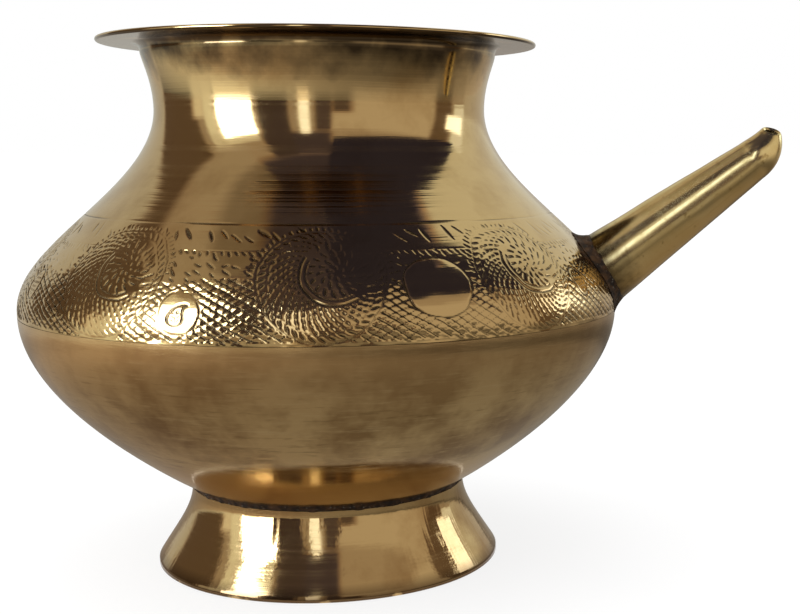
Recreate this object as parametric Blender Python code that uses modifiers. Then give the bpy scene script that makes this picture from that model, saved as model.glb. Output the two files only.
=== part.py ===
# Spouted water pot of spun brass: a necked shoulder over a round bowl, a flared foot and a tapered spout.
# Metres, +Z up. The pot stands on z = 0 and the spout points along +X.
from math import cos, hypot, pi, radians, sin, sqrt

import bmesh
import bpy
from mathutils import Vector
from mathutils.geometry import interpolate_bezier

# Sheet and joints
SHEET = 0.0008
FOOT_SHEET = 0.0010
SPOUT_SHEET = 0.0007
JOINT_GAP = 0.0003

# Shoulder, neck and rim: outer sizes, and how far each curve holds its upright direction
BELLY_RADIUS = 0.0590
BELLY_HEIGHT = 0.0525
BELLY_HOLD = 0.0127
SHOULDER_RISE = 0.0382
WAIST_RADIUS = 0.0324
WAIST_HOLD = 0.0150
NECK_RISE = 0.0131
NECK_FLARE = 0.0022
NECK_HOLD = 0.0054
NECK_TOP_HOLD = 0.0014
RIM_WIDTH = 0.0081
RIM_FILLET = 0.0015

# Bowl: the knuckle is where the wall turns in under the pot
BOWL_HOLD = 0.0127
KNUCKLE_RADIUS = 0.0328
KNUCKLE_HEIGHT = 0.0194
KNUCKLE_RISE = 0.66
KNUCKLE_HOLD = 0.0107
BOWL_BOTTOM_HEIGHT = 0.0095

# Lap at the belly seam: the bowl's lip slips up inside the shoulder's skirt
SEAM_DROP = 0.0009
LAP_HEIGHT = 0.0020
BRAZE_LEG = 0.0013

# Foot
FOOT_RADIUS = 0.0347
FOOT_TOP_RADIUS = 0.0277
FOOT_LAND = 0.0010
FOOT_FLARE = 0.62
FOOT_HOLD = 0.0049
FOOT_SOLDER_LEG = 0.0012

# Spout: its axis leaves the wall this far above the widest line, and its end curls up to a small mouth
SPOUT_ABOVE_BELLY = 0.0070
SPOUT_RISE = radians(36.4)
SPOUT_RADIUS = 0.0072
SPOUT_STRAIGHT = 0.0360
SPOUT_END_RADIUS = 0.00415
CURL_RADIUS = 0.0099
CURL_TURN = radians(40.0)
MOUTH_RADIUS = 0.0021
SPOUT_SOLDER_LEG = 0.0022
SOLDER_HOLLOW = 0.3

# Facets: steps round each part, and points along each curve of the profiles
TURN_STEPS = 48
CURL_STEPS = 6
SPOUT_ROUND = 8
SADDLE_STEPS = 40
FILLET_POINTS = 4
NECK_POINTS = 5
SHOULDER_POINTS = 15
SIDE_POINTS = 12
UNDER_POINTS = 7
FOOT_POINTS = 8
SHARP_ANGLE = radians(40.0)

# Points closer than this are one, and the halvings that find the spout's root on the wall
MERGE = 0.000001
HALVINGS = 40

# How far a cutter or a tube to be cut runs past the face it cuts
OVERRUN = 0.0060

# Heights and radii that follow from the sizes above
WAIST_HEIGHT = BELLY_HEIGHT + SHOULDER_RISE
RIM_HEIGHT = WAIST_HEIGHT + NECK_RISE
NECK_TOP_RADIUS = WAIST_RADIUS + NECK_FLARE
RIM_RADIUS = NECK_TOP_RADIUS + RIM_WIDTH
SEAM_HEIGHT = BELLY_HEIGHT - SEAM_DROP
LIP_TOP = SEAM_HEIGHT + LAP_HEIGHT
SPOUT_HEIGHT = BELLY_HEIGHT + SPOUT_ABOVE_BELLY

BRASS = ((0.66, 0.50, 0.25), 0.22)
SATIN_BRASS = ((0.46, 0.34, 0.18), 0.42)
AGED_BRASS = ((0.50, 0.37, 0.14), 0.34)
DARK_SOLDER = ((0.085, 0.070, 0.055), 0.55)


def bezier(start, start_hold, end_hold, end, points):
    corners = [Vector((r, z, 0.0)) for r, z in (start, start_hold, end_hold, end)]
    return [(p.x, p.y) for p in interpolate_bezier(*corners, points)]


def offset(line, distance):
    # Moves a (radius, height) line that runs downwards away from the axis by distance
    moved = []
    for i, (r, z) in enumerate(line):
        before = Vector(line[max(i - 1, 0)])
        after = Vector(line[min(i + 1, len(line) - 1)])
        along = (after - before).normalized()
        moved.append((r - along.y * distance, z + along.x * distance))
    return moved


def radius_at(line, height):
    # Radius of a downward line at a height
    for (r0, z0), (r1, z1) in zip(line, line[1:]):
        if z1 <= height <= z0 and z0 > z1:
            return r1 + (r0 - r1) * (height - z1) / (z0 - z1)
    return line[-1][0]


def height_at(line, radius):
    # Height of a line that runs down towards the axis at a radius
    for (r0, z0), (r1, z1) in zip(line, line[1:]):
        if r1 <= radius <= r0 and r0 > r1:
            return z1 + (z0 - z1) * (radius - r1) / (r0 - r1)
    return line[-1][1]


def shoulder_line():
    # Outer side of the upper sheet: under the rim, down the neck and over the shoulder to the seam
    under_rim = RIM_HEIGHT - SHEET
    fillet_r = NECK_TOP_RADIUS + RIM_FILLET
    fillet_z = under_rim - RIM_FILLET
    turns = [pi / 2 + pi / 2 * i / (FILLET_POINTS - 1) for i in range(FILLET_POINTS)]
    rim = [(RIM_RADIUS, under_rim)]
    rim += [(fillet_r + RIM_FILLET * cos(a), fillet_z + RIM_FILLET * sin(a)) for a in turns]
    neck = bezier(rim[-1], (NECK_TOP_RADIUS, fillet_z - NECK_TOP_HOLD),
                  (WAIST_RADIUS, WAIST_HEIGHT + NECK_HOLD), (WAIST_RADIUS, WAIST_HEIGHT), NECK_POINTS)
    shoulder = bezier(neck[-1], (WAIST_RADIUS, WAIST_HEIGHT - WAIST_HOLD),
                      (BELLY_RADIUS, BELLY_HEIGHT + BELLY_HOLD), (BELLY_RADIUS, BELLY_HEIGHT), SHOULDER_POINTS)
    return rim + neck[1:] + shoulder[1:] + [(BELLY_RADIUS, SEAM_HEIGHT)]


def wall_line():
    # Outer side of the bowl from just under the seam to the middle of its underside
    top = (BELLY_RADIUS, SEAM_HEIGHT - JOINT_GAP)
    knuckle = (KNUCKLE_RADIUS, KNUCKLE_HEIGHT)
    hold = (KNUCKLE_RADIUS + KNUCKLE_HOLD, KNUCKLE_HEIGHT + KNUCKLE_HOLD * KNUCKLE_RISE)
    side = bezier(top, (BELLY_RADIUS, top[1] - BOWL_HOLD), hold, knuckle, SIDE_POINTS)
    third = KNUCKLE_RADIUS / 3
    under = bezier(knuckle, (KNUCKLE_RADIUS - third, KNUCKLE_HEIGHT - third * KNUCKLE_RISE),
                   (third, BOWL_BOTTOM_HEIGHT), (0.0, BOWL_BOTTOM_HEIGHT), UNDER_POINTS)
    return side + under[1:]


def bowl_line():
    # The bowl with its lip stepped in by the skirt's sheet and the gap
    wall = wall_line()
    lip_radius = radius_at(offset(shoulder_line(), -SHEET), LIP_TOP) - JOINT_GAP
    return [(lip_radius, LIP_TOP), (lip_radius, wall[0][1])] + wall


def foot_top():
    # The foot's sheet meets the bowl's underside first at its inner edge
    return height_at(offset(wall_line(), JOINT_GAP), FOOT_TOP_RADIUS - FOOT_SHEET)


def foot_line():
    top = (FOOT_TOP_RADIUS, foot_top())
    flare = (FOOT_RADIUS - FOOT_HOLD * FOOT_FLARE, FOOT_LAND + FOOT_HOLD)
    foot = bezier(top, (FOOT_TOP_RADIUS, top[1] - FOOT_HOLD), flare, (FOOT_RADIUS, FOOT_LAND), FOOT_POINTS)
    return foot + [(FOOT_RADIUS, 0.0)]


def spout_start():
    return Vector((radius_at(shoulder_line(), SPOUT_HEIGHT), 0.0, SPOUT_HEIGHT))


def spout_taper(along):
    # Outer radius of the straight part, which narrows evenly
    return SPOUT_RADIUS + (SPOUT_END_RADIUS - SPOUT_RADIUS) * along / SPOUT_STRAIGHT


def spout_route(start, overrun=0.0):
    # Points of the spout's axis with the outer radius at each, from start along the axis to the mouth
    ahead = Vector((cos(SPOUT_RISE), 0.0, sin(SPOUT_RISE)))
    upward = Vector((-sin(SPOUT_RISE), 0.0, cos(SPOUT_RISE)))
    origin = spout_start()
    bend = origin + ahead * SPOUT_STRAIGHT
    route = [(origin + ahead * start, spout_taper(start))]
    for i in range(CURL_STEPS + 1):
        part = i / CURL_STEPS
        turn = CURL_TURN * part
        place = bend + ahead * CURL_RADIUS * sin(turn) + upward * CURL_RADIUS * (1 - cos(turn))
        route.append((place, SPOUT_END_RADIUS + (MOUTH_RADIUS - SPOUT_END_RADIUS) * part ** 2))
    if overrun:
        leaving = ahead * cos(CURL_TURN) + upward * sin(CURL_TURN)
        route.append((route[-1][0] + leaving * overrun, MOUTH_RADIUS))
    return route


def spout_reach():
    # How far the curled end stands out from the pot's axis
    route = spout_route(0.0)
    reach = 0.0
    for (place, _), (after, radius) in zip(route, route[1:]):
        ahead = (after - place).normalized()
        reach = max(reach, after.x + radius * sqrt(1 - ahead.x ** 2))
    return reach


def make_material(name, look):
    colour, roughness = look
    material = bpy.data.materials.new(name)
    material.use_nodes = True
    shader = material.node_tree.nodes["Principled BSDF"]
    shader.inputs["Base Color"].default_value = (*colour, 1.0)
    shader.inputs["Metallic"].default_value = 1.0
    shader.inputs["Roughness"].default_value = roughness
    return material


def place_object(name, data, collection, axis):
    made = bpy.data.objects.new(name, data)
    made.parent = axis
    collection.objects.link(made)
    return made


def add_screw(made):
    screw = made.modifiers.new("turned", "SCREW")
    screw.axis = "Z"
    screw.angle = 2 * pi
    screw.steps = TURN_STEPS
    screw.render_steps = TURN_STEPS
    screw.use_merge_vertices = True
    screw.merge_threshold = MERGE


def turn_profile(name, line, collection, axis, closed=False):
    # A profile in the XZ plane, turned about the pot's axis
    edges = [(i, i + 1) for i in range(len(line) - 1)]
    if closed:
        edges.append((len(line) - 1, 0))
    mesh = bpy.data.meshes.new(name)
    mesh.from_pydata([(r, 0.0, z) for r, z in line], edges, [])
    made = place_object(name, mesh, collection, axis)
    add_screw(made)
    return made


def spin_sheet(name, line, thickness, collection, axis):
    # A turned sheet, thickened inwards from its outer side
    made = turn_profile(name, line, collection, axis)
    solidify = made.modifiers.new("sheet", "SOLIDIFY")
    solidify.thickness = thickness
    solidify.offset = -1.0
    solidify.use_even_offset = True
    return made


def cut_with(made, cutter, label):
    boolean = made.modifiers.new(label, "BOOLEAN")
    boolean.operation = "DIFFERENCE"
    boolean.object = cutter
    boolean.solver = "EXACT"


def draw_tube(name, route, shrink, collection, axis):
    # A round tube along a route, made a mesh so that it can be cut
    curve = bpy.data.curves.new(name, "CURVE")
    curve.dimensions = "3D"
    curve.bevel_depth = 1.0
    curve.bevel_resolution = SPOUT_ROUND
    curve.use_fill_caps = True
    spline = curve.splines.new("POLY")
    spline.points.add(len(route) - 1)
    for point, (place, radius) in zip(spline.points, route):
        point.co = (*place, 1.0)
        point.radius = radius - shrink
    drawn = bpy.data.objects.new(name + "_curve", curve)
    bpy.context.scene.collection.objects.link(drawn)
    graph = bpy.context.evaluated_depsgraph_get()
    mesh = bpy.data.meshes.new_from_object(drawn.evaluated_get(graph))
    mesh.name = name
    bpy.data.objects.remove(drawn)
    shape = bmesh.new()
    shape.from_mesh(mesh)
    bmesh.ops.remove_doubles(shape, verts=shape.verts, dist=MERGE)
    bmesh.ops.recalc_face_normals(shape, faces=shape.faces)
    shape.to_mesh(mesh)
    shape.free()
    return place_object(name, mesh, collection, axis)


def make_cutter(made):
    made.hide_render = True
    made.display_type = "WIRE"
    return made


def braze_line():
    # A bead in the corner over the bowl's lip, against the inside of the skirt
    inside = offset(shoulder_line(), -SHEET - JOINT_GAP)
    low = LIP_TOP + JOINT_GAP
    outer = [(radius_at(inside, z), z) for z in (low + BRAZE_LEG, low + BRAZE_LEG / 2, low)]
    return outer + [(outer[-1][0] - BRAZE_LEG, low)]


def foot_solder_line():
    # A bead in the corner between the bowl's underside and the outside of the foot
    under = offset(wall_line(), JOINT_GAP)
    inner = FOOT_TOP_RADIUS + JOINT_GAP
    outer = inner + FOOT_SOLDER_LEG
    high = height_at(under, inner)
    return [(outer, height_at(under, outer)), (inner, high - FOOT_SOLDER_LEG), (inner, high)]


def saddle_section(turn, body):
    # Corner, spout-side end, hollow and wall-side end of the solder at one turn round the spout
    ahead = Vector((cos(SPOUT_RISE), 0.0, sin(SPOUT_RISE)))
    upward = Vector((-sin(SPOUT_RISE), 0.0, cos(SPOUT_RISE)))
    away = upward * cos(turn) + Vector((0.0, 1.0, 0.0)) * sin(turn)
    origin = spout_start()

    def on_spout(along):
        return origin + ahead * along + away * (spout_taper(along) + JOINT_GAP)

    inside, outside = -2 * SPOUT_RADIUS, 2 * SPOUT_RADIUS
    for _ in range(HALVINGS):
        middle = (inside + outside) / 2
        place = on_spout(middle)
        if hypot(place.x, place.y) < radius_at(body, place.z):
            inside = middle
        else:
            outside = middle
    corner = on_spout(outside)
    spout_end = on_spout(outside + SPOUT_SOLDER_LEG)
    out = Vector((corner.x, corner.y, 0.0)).normalized()
    lean = (radius_at(body, corner.z + SHEET) - radius_at(body, corner.z - SHEET)) / (2 * SHEET)
    normal = (out - Vector((0.0, 0.0, lean))).normalized()
    slide = (away - normal * away.dot(normal)).normalized()
    wall_end = corner + slide * SPOUT_SOLDER_LEG
    fit = radius_at(body, wall_end.z) / hypot(wall_end.x, wall_end.y)
    wall_end = Vector((wall_end.x * fit, wall_end.y * fit, wall_end.z))
    hollow = corner.lerp((spout_end + wall_end) / 2, 1 - SOLDER_HOLLOW)
    return [corner, spout_end, hollow, wall_end]


def saddle_fillet(name, body, collection, axis):
    # The solder round the spout's root, lofted through its sections along the saddle
    shape = bmesh.new()
    rings = []
    for i in range(SADDLE_STEPS):
        section = saddle_section(2 * pi * i / SADDLE_STEPS, body)
        rings.append([shape.verts.new(place) for place in section])
    for i, ring in enumerate(rings):
        after = rings[(i + 1) % SADDLE_STEPS]
        for j in range(len(ring)):
            k = (j + 1) % len(ring)
            shape.faces.new((ring[j], ring[k], after[k], after[j]))
    bmesh.ops.recalc_face_normals(shape, faces=shape.faces)
    mesh = bpy.data.meshes.new(name)
    shape.to_mesh(mesh)
    shape.free()
    return place_object(name, mesh, collection, axis)


def finish_part(made, material):
    made.data.materials.append(material)
    if made.data.polygons:
        made.data.shade_smooth()
        made.data.set_sharp_from_angle(angle=SHARP_ANGLE)


def build():
    for old in list(bpy.data.objects):
        bpy.data.objects.remove(old)
    parts = bpy.data.collections.new("spouted_water_pot")
    cutters = bpy.data.collections.new("cutters")
    bpy.context.scene.collection.children.link(parts)
    bpy.context.scene.collection.children.link(cutters)

    # The pot's axis stands off the middle of the whole length, which the spout draws towards +X
    axis = bpy.data.objects.new("pot_axis", None)
    axis.location.x = (BELLY_RADIUS - spout_reach()) / 2
    parts.objects.link(axis)

    brass = make_material("polished_brass", BRASS)
    satin = make_material("satin_brass", SATIN_BRASS)
    aged = make_material("aged_brass", AGED_BRASS)
    solder = make_material("dark_solder", DARK_SOLDER)

    # Outside of the whole pot, a gap clear of the wall: it shapes the spout's root
    outside = offset(shoulder_line() + wall_line(), JOINT_GAP)
    solid = [(0.0, outside[0][1])] + outside[:-1] + [(0.0, outside[-1][1])]
    saddle = make_cutter(turn_profile("saddle_cutter", solid, cutters, axis))
    bore = make_cutter(draw_tube("bore_cutter", spout_route(-OVERRUN, OVERRUN), SPOUT_SHEET, cutters, axis))

    neck = spin_sheet("neck_and_shoulder", shoulder_line(), SHEET, parts, axis)
    cut_with(neck, bore, "spout_hole")
    finish_part(neck, brass)

    bowl = spin_sheet("lower_bowl", bowl_line(), SHEET, parts, axis)
    cut_with(bowl, bore, "spout_hole")
    finish_part(bowl, satin)

    foot = spin_sheet("foot_ring", foot_line(), FOOT_SHEET, parts, axis)
    finish_part(foot, brass)

    spout = draw_tube("spout_tube", spout_route(-OVERRUN), 0.0, parts, axis)
    cut_with(spout, saddle, "saddle_cut")
    cut_with(spout, bore, "bore")
    finish_part(spout, aged)

    braze = turn_profile("belly_braze_ring", braze_line(), parts, axis, closed=True)
    cut_with(braze, bore, "spout_hole")
    finish_part(braze, aged)
    foot_solder = turn_profile("foot_solder_ring", foot_solder_line(), parts, axis, closed=True)
    finish_part(foot_solder, solder)
    fillet = saddle_fillet("spout_solder_fillet", outside, parts, axis)
    finish_part(fillet, solder)


build()
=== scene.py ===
from functools import partial
from math import atan, cos, hypot, pi, radians, sin

import bmesh
import bpy
import numpy as np
from mathutils import Matrix, Vector
from numpy.linalg import norm


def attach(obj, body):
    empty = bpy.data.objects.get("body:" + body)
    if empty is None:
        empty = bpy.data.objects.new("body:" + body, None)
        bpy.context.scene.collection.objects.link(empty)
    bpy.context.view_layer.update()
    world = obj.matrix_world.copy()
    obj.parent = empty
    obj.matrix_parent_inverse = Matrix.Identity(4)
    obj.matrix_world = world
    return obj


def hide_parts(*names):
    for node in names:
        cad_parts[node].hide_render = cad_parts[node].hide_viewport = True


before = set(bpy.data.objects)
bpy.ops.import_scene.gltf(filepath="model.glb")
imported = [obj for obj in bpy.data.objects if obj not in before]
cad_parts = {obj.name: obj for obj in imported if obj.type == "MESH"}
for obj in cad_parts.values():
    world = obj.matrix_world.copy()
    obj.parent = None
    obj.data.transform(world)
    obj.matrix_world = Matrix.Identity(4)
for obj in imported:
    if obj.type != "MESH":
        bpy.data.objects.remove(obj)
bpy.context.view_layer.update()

scene = bpy.context.scene
mm = 0.001
fullTurn = 2 * pi
axisX = -16.17  # mm, the turned body's axis; the spout points along +X
sideways = np.array([0.0, 1.0, 0.0])
straightUp = np.array([0.0, 1.0])  # in a (radius, height) line


def linear(hexText):
    # sRGB hex to the linear colour that the sockets take
    parts = [int(hexText[i:i + 2], 16) / 255 for i in (1, 3, 5)]
    return tuple(c / 12.92 if c <= 0.04045 else ((c + 0.055) / 1.055) ** 2.4 for c in parts) + (1.0,)


def setSockets(tree, node, values):
    # Sockets by name or in order: each is linked to an output, or set to a number or to a hex colour
    for key, value in values.items() if isinstance(values, dict) else enumerate(values):
        if isinstance(value, bpy.types.NodeSocket):
            tree.links.new(value, node.inputs[key])
        else:
            node.inputs[key].default_value = linear(value) if isinstance(value, str) else value


def addNode(tree, kind, values=(), output=0, **settings):
    # One shader node with its settings and sockets; gives back one of its outputs
    node = tree.nodes.new("ShaderNode" + kind)
    for name, value in settings.items():
        setattr(node, name, value)
    setSockets(tree, node, values)
    return node.outputs[output] if node.outputs else None


def newMaterial(name):
    # The material, what adds its nodes, what sets its shader's sockets, and the place on the pot
    material = bpy.data.materials.new(name)
    material.use_nodes = True
    tree = material.node_tree
    add, dress = partial(addNode, tree), partial(setSockets, tree, tree.nodes["Principled BSDF"])
    return material, add, dress, add("TexCoord", output="Object")


def layColours(add, look, layers):
    # Each layer comes in between two values of what it follows, up to its most, over those before it
    colour = look["colour"]
    for follows, start, end, most, tint in layers:
        share = add("MapRange", (follows, start, end, 0.0, most))
        colour = add("Mix", {"Factor": share, "A": colour, "B": look[tint]}, "Result", data_type="RGBA")
    return colour


def bezier(a, b, c, d, count):
    t = np.linspace(0, 1, count)[:, None]
    a, b, c, d = (np.array(p, float) for p in (a, b, c, d))
    return a * (1 - t) ** 3 + 3 * b * t * (1 - t) ** 2 + 3 * c * t * t * (1 - t) + d * t ** 3


def offsetLine(line, distance):
    # A (radius, height) line that runs downwards, moved away from the axis
    along = np.gradient(line, axis=0)
    along /= norm(along, axis=1)[:, None]
    return line + distance * np.stack([-along[:, 1], along[:, 0]], 1)


def arcLine(r, z, radius, start, end, count):
    turns = np.radians(np.linspace(start, end, count))
    return np.stack([r + radius * np.cos(turns), z + radius * np.sin(turns)], 1)


def roughNoise(places, size, seed):
    # Smooth random numbers from -1 to 1 on a lattice of that size, the same each run
    at = places / size
    base = np.floor(at).astype(np.int64)
    part = at - base
    part = part * part * (3 - 2 * part)
    total = np.zeros(places.shape[:-1])
    for corner in range(8):
        step = np.array([corner & 1, corner >> 1 & 1, corner >> 2 & 1])
        key = ((base + step) * np.array([73856093, 19349663, 83492791])).sum(-1) + seed * 2654435761
        key = (key ^ (key >> 13)) * 1274126177 & 0x7FFFFFFF
        key = (key ^ (key >> 11)) * 668265263 & 0x7FFFFFFF
        weight = np.where(step, part, 1 - part).prod(-1)
        total += weight * (key / 0x3FFFFFFF - 1)
    return total


def turnPlaces(line, columns):
    # Points in mm of a line turned about the pot's axis: rows down the line, columns round from -Y
    turns = np.arange(columns) * fullTurn / columns
    r, z = line[:, 0, None], line[:, 1, None]
    return np.stack([axisX + r * np.sin(turns), -r * np.cos(turns), z + 0 * turns], -1)


def newObject(name, data):
    made = bpy.data.objects.new(name, data)
    scene.collection.objects.link(made)
    return made


def gridObject(name, places, materials, looped=True, innerFrom=None, numbers=None, skip=None, sharp=40):
    # A mesh from rows of points in mm that close round; looped rows close the section too
    rows, columns = places.shape[:2]
    spans = rows if looped else rows - 1
    i, j = np.meshgrid(np.arange(spans), np.arange(columns), indexing="ij")
    nextRow, nextColumn = (i + 1) % rows, (j + 1) % columns
    corners = np.stack([i * columns + j, nextRow * columns + j,
                        nextRow * columns + nextColumn, i * columns + nextColumn], -1).reshape(-1, 4)
    step = norm(np.diff(np.concatenate([places[:, 0], places[:1, 0]]), axis=0), axis=-1)
    length = np.concatenate([[0], np.cumsum(step)])[:spans + 1]
    across = np.stack([j, j, j + 1, j + 1], -1) / columns
    down = np.stack([length[i], length[i + 1], length[i + 1], length[i]], -1) / length[-1]
    maps = np.stack([across, 1 - down], -1).reshape(-1, 4, 2)
    kept = np.ones(len(corners), bool) if skip is None else ~skip.reshape(-1)
    mesh = bpy.data.meshes.new(name)
    mesh.from_pydata((places.reshape(-1, 3) * mm).tolist(), [], corners[kept].tolist())
    mesh.uv_layers.new(name="OFBake").uv.foreach_set("vector", maps[kept].astype(np.float32).ravel())
    for label, values in (numbers or {}).items():
        kind, field = ("FLOAT", "value") if values.ndim == 2 else ("FLOAT_COLOR", "color")
        data = mesh.attributes.new(label, kind, "POINT").data
        data.foreach_set(field, values.astype(np.float32).ravel())
    if innerFrom is not None:
        slots = (i.reshape(-1)[kept] >= innerFrom).astype(np.int32)
        mesh.polygons.foreach_set("material_index", slots)
    for material in materials:
        mesh.materials.append(material)
    mesh.shade_smooth()
    if sharp:
        mesh.set_sharp_from_angle(angle=radians(sharp))
    return newObject(name, mesh)


def putOnPot(piece, node):
    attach(piece, "root")
    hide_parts(node)


# Camera: the photograph's own place and lens, from the outline of the turned body; mm and degrees
cameraSet = dict(
    place=(40.78, -267.93, 83.70), pitch=81.037, heading=3.099, roll=0.196, lens=59.93,
    shift=(-0.16625, 0.06125), clipStart=10.0)
camera = newObject("camera", bpy.data.cameras.new("camera"))
camera.data.lens = cameraSet["lens"]
camera.data.shift_x, camera.data.shift_y = cameraSet["shift"]
camera.data.clip_start = cameraSet["clipStart"] * mm
stand = Matrix.Translation(Vector(cameraSet["place"]) * mm)
for angle, axis in (("heading", "Z"), ("pitch", "X"), ("roll", "Z")):
    stand = stand @ Matrix.Rotation(radians(cameraSet[angle]), 4, axis)
camera.matrix_world = stand
scene.camera = camera
print("camera placed")


# Cartridge brass, turned on a lathe and buffed: a warm mirror with fine rings that comb the reflections.
# Sizes and heights in mm; the painted shade under the rim and the comb fade in and out between their heights
polishedSet = dict(
    colour="#CFB07C", tarnish="#A5814F", cloud=14.0, roughness=(0.05, 0.15), ring=1.15, fineRing=0.36,
    ringHeight=0.013, wander=0.6, comb=1.9, combHeights=(78.5, 74.5, 69.0, 66.0), chatter=0,
    chatterHeight=0.05, paintedShade="#3A2E25", paintedShadeHeights=(96.0, 102.2, 103.3, 103.6),
    paintedShadeFacing=(0.15, -0.15), shadePatch=6.0, shadePatchReach=13.0, rimHeights=(103.2, 103.6), rimRough=0.26,
    patina="#1E1712", patinaRough=0.35, anisotropic=0.25)
# On the foot faint upright marks break the reflections up, and the painted shade runs along its lower edge;
# in the engraving the cuts are dark
footSet = dict(
    polishedSet, tarnish="#9A7040", ringHeight=0.007, comb=1.0, chatter=139, paintedShade="#4A3220",
    paintedShadeHeights=(-2.0, -1.0, 0.4, 3.0), paintedShadeFacing=(2.0, 1.0))
engravedSet = dict(polishedSet, roughness=(0.055, 0.14))
# The same brass inside, never buffed: dull, browned by water, with the rings of the spinning tool
insideSet = dict(
    polishedSet, colour="#C6A66E", tarnish="#8F7148", roughness=(0.36, 0.52), ringHeight=0.010, comb=1.0,
    paintedShadeHeights=(200.0, 201.0, 202.0, 203.0), cloud=9.0, anisotropic=0.3)


def turnedBrass(name, look, engraved=False):
    material, add, dress, place = newMaterial(name)
    height = add("SeparateXYZ", (place,), "Z")
    cloud = add("TexNoise", {"Vector": place, "Scale": 1 / (look["cloud"] * mm), "Detail": 5.0,
                             "Roughness": 0.6})
    # The rings wander a little, so they follow the height plus a part of a slow noise
    wander = add("Math", (cloud, look["wander"] * mm, height), operation="MULTIPLY_ADD")
    ring, fineRing = (add("TexNoise", {"W": wander, "Scale": 1 / (look[size] * mm), "Detail": detail},
                          noise_dimensions="1D") for size, detail in (("ring", 2.0), ("fineRing", 1.0)))
    rings = add("Math", (fineRing, 0.35, ring), operation="MULTIPLY_ADD")
    # The tool dug deeper round the engraved border
    high, highEnd, lowEnd, low = (z * mm for z in look["combHeights"])
    under = add("MapRange", (height, high, highEnd, 0.0, look["comb"] - 1))
    over = add("MapRange", (height, low, lowEnd))
    comb = add("Math", (under, over, 1.0), operation="MULTIPLY_ADD")
    relief = add("Math", (rings, comb), operation="MULTIPLY")
    if look["chatter"]:
        # Where the tool shook, faint upright marks stand close together round the turned sheet
        fromX, fromY = (add("SeparateXYZ", (place,), axis) for axis in "XY")
        fromAxis = add("Math", (fromX, axisX * mm), operation="SUBTRACT")
        bearing = add("Math", (fromY, fromAxis), operation="ARCTAN2")
        shake = add("TexNoise", {"W": bearing, "Scale": look["chatter"] / fullTurn, "Detail": 1.0},
                    noise_dimensions="1D")
        shaken = add("MapRange", (cloud, 0.42, 0.6, 0.0, look["chatterHeight"] / look["ringHeight"]))
        relief = add("Math", (shake, shaken, relief), operation="MULTIPLY_ADD")
    bump = add("Bump", {"Height": relief, "Distance": look["ringHeight"] * mm})
    # Painted shade: the brass is darkened where it faces down under the rim's flange, and along the foot's
    # lower edge; a noise makes its lower boundary wander
    low, lowEnd, highEnd, high = (z * mm for z in look["paintedShadeHeights"])
    reach = look["shadePatchReach"] * mm
    shadePatch = add("TexNoise", {"Vector": place, "Scale": 1 / (look["shadePatch"] * mm), "Detail": 4.0})
    patchy = add("Math", (shadePatch, reach, height), operation="MULTIPLY_ADD")
    above = add("MapRange", (patchy, low + reach / 2, lowEnd + reach / 2))
    below = add("MapRange", (height, high, highEnd, 0.0, 0.9))
    facingUp = add("SeparateXYZ", (add("NewGeometry", output="Normal"),), "Z")
    paintedShade = add("MapRange", (facingUp, *look["paintedShadeFacing"]))
    for share in (above, below):
        paintedShade = add("Math", (paintedShade, share), operation="MULTIPLY")
    layers = [(cloud, 0.48, 0.75, 0.7, "tarnish"), (paintedShade, 0.0, 1.0, 1.0, "paintedShade")]
    gloss = add("MapRange", (rings, 0.4, 0.95, *look["roughness"]))
    # The flat top of the rim, where the pot is gripped, is rubbed to a satin
    flat = add("MapRange", (facingUp, 0.9, 0.98))
    top = add("MapRange", (height, *(z * mm for z in look["rimHeights"]), 0.0, look["rimRough"]))
    gloss = add("Math", (flat, top, gloss), operation="MULTIPLY_ADD")
    if engraved:
        # Old polish and soot stay in the cuts
        groove = add("Attribute", output="Fac", attribute_name="groove")
        soot = add("MapRange", (groove, 0.2, 0.8, 0.0, 0.93))
        layers.append((soot, 0.0, 1.0, 1.0, "patina"))
        gloss = add("Math", (soot, look["patinaRough"], gloss), operation="MULTIPLY_ADD")
    tangent = add("Tangent", direction_type="RADIAL", axis="Z")
    dress({"Base Color": layColours(add, look, layers), "Roughness": gloss, "Normal": bump,
           "Tangent": tangent, "Metallic": 1.0, "Anisotropic": look["anisotropic"],
           "Anisotropic Rotation": 0.25})
    return material


polishedBrass = turnedBrass("polishedTurnedBrass", polishedSet)
footBrass = turnedBrass("polishedFootBrass", footSet)
engravedBrass = turnedBrass("engravedTurnedBrass", engravedSet, engraved=True)
dullBrass = turnedBrass("dullSpunBrass", insideSet)

# Brass rubbed round with fine emery: a soft mirror of the table and the foot, browned with handling,
# with level streaks. Sizes and heights in mm
satinSet = dict(
    colour="#D2B684", brown="#9C7E54", pale="#E0C898", fleck="#846A42", cloud=15.0, warmTop="#D2AC78",
    warmHeights=(38.0, 50.0), bright="#E2BE86", paintedReflectionHeights=(27.0, 22.0), roughness=(0.08, 0.20),
    streak=0.9, fineStreak=0.26, streakHeight=0.014, anisotropic=0.4)


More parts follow.
